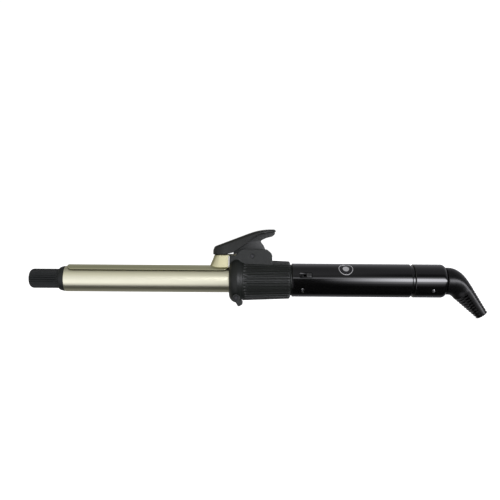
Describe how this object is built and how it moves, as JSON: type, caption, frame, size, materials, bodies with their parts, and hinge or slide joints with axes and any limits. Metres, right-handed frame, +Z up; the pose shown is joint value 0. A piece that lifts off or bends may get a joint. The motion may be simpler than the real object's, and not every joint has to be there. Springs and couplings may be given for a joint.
{
  "type": "curling iron",
  "caption": "Spring-clip hair curling iron: round heated barrel with fluted cool tip, thumb-lever clip, ribbed hinge housing, flip stand, round handle and swivelling cord boot.",
  "frame": {"origin": "centre of the bounding box in X and Y, at the lowest point of the cord boot in Z", "axes": "+X from the cool tip towards the cord end along the barrel's axis, +Z up with the thumb lever on top, +Y to the left of the tip-to-cord direction"},
  "size_m": [0.3378, 0.034, 0.0647],
  "materials": {
    "tip_black": "matte",
    "champagne_metal": "satin",
    "clip_metal": "satin",
    "heater_aluminium": "satin",
    "ptc_ceramic": "matte",
    "bush_ceramic": "matte",
    "lead_insulation": "matte",
    "supply_insulation": "satin",
    "housing_black": "matte",
    "lever_black": "matte",
    "gloss_black": "gloss",
    "pin_steel": "satin",
    "dark_steel": "satin",
    "spring_steel": "satin",
    "contact_brass": "satin",
    "carrier_nylon": "matte",
    "board_green": "satin",
    "component_dark": "matte",
    "switch_black": "matte",
    "badge_silver": "satin",
    "boot_rubber": "satin"
  },
  "bodies": {
    "handle": {"cool_tip": "tip_black", "barrel_tube": "champagne_metal", "heater_plate_upper": "heater_aluminium", "heater_plate_lower": "heater_aluminium", "ptc_heater": "ptc_ceramic", "heater_leads": "lead_insulation", "thermal_fuse": "pin_steel", "barrel_bush": "bush_ceramic", "hinge_housing": "housing_black", "ribbed_sleeve": "housing_black", "pivot_pin": "dark_steel", "torsion_spring": "spring_steel", "stand_pins": "dark_steel", "handle_upper": "gloss_black", "handle_lower": "gloss_black", "handle_screw": "pin_steel", "badge": "badge_silver", "circuit_board": "board_green", "board_components": "component_dark", "switch_base": "component_dark", "joint_ring": "gloss_black", "end_cap": "gloss_black", "cap_screw": "pin_steel", "contact_carrier": "carrier_nylon", "contact_brushes": "contact_brass", "supply_leads": "supply_insulation"},
    "clip": {"clip_blade": "clip_metal", "clip_arm": "clip_metal", "thumb_lever": "lever_black", "lever_screw": "pin_steel"},
    "stand": {"stand_bail": "housing_black"},
    "power_switch": {"switch_knob": "switch_black"},
    "cord_swivel": {"swivel_hub": "component_dark", "slip_rings": "contact_brass", "strain_relief_boot": "boot_rubber"}
  },
  "joints": [
    {"name": "clip_pivot", "type": "hinge", "parent": "handle", "child": "clip", "pos_m": [-0.00491, 0, 0.04493], "axis": [0, 1, 0], "range_deg": [0, 25], "stiffness_Nm_per_rad": 0.15, "springref_deg": -34.38, "deforming": ["torsion_spring"]},
    {"name": "stand_pivot", "type": "hinge", "parent": "handle", "child": "stand", "pos_m": [-0.01651, 0, 0.01493], "axis": [0, 1, 0], "range_deg": [0, 75]},
    {"name": "switch_slide", "type": "slide", "parent": "handle", "child": "power_switch", "axis": [-1, 0, 0], "range_m": [0, 0.003]},
    {"name": "cord_swivel_turn", "type": "hinge", "parent": "handle", "child": "cord_swivel", "pos_m": [0.13989, 0, 0.02743], "axis": [1, 0, 0], "continuous": true}
  ]
}
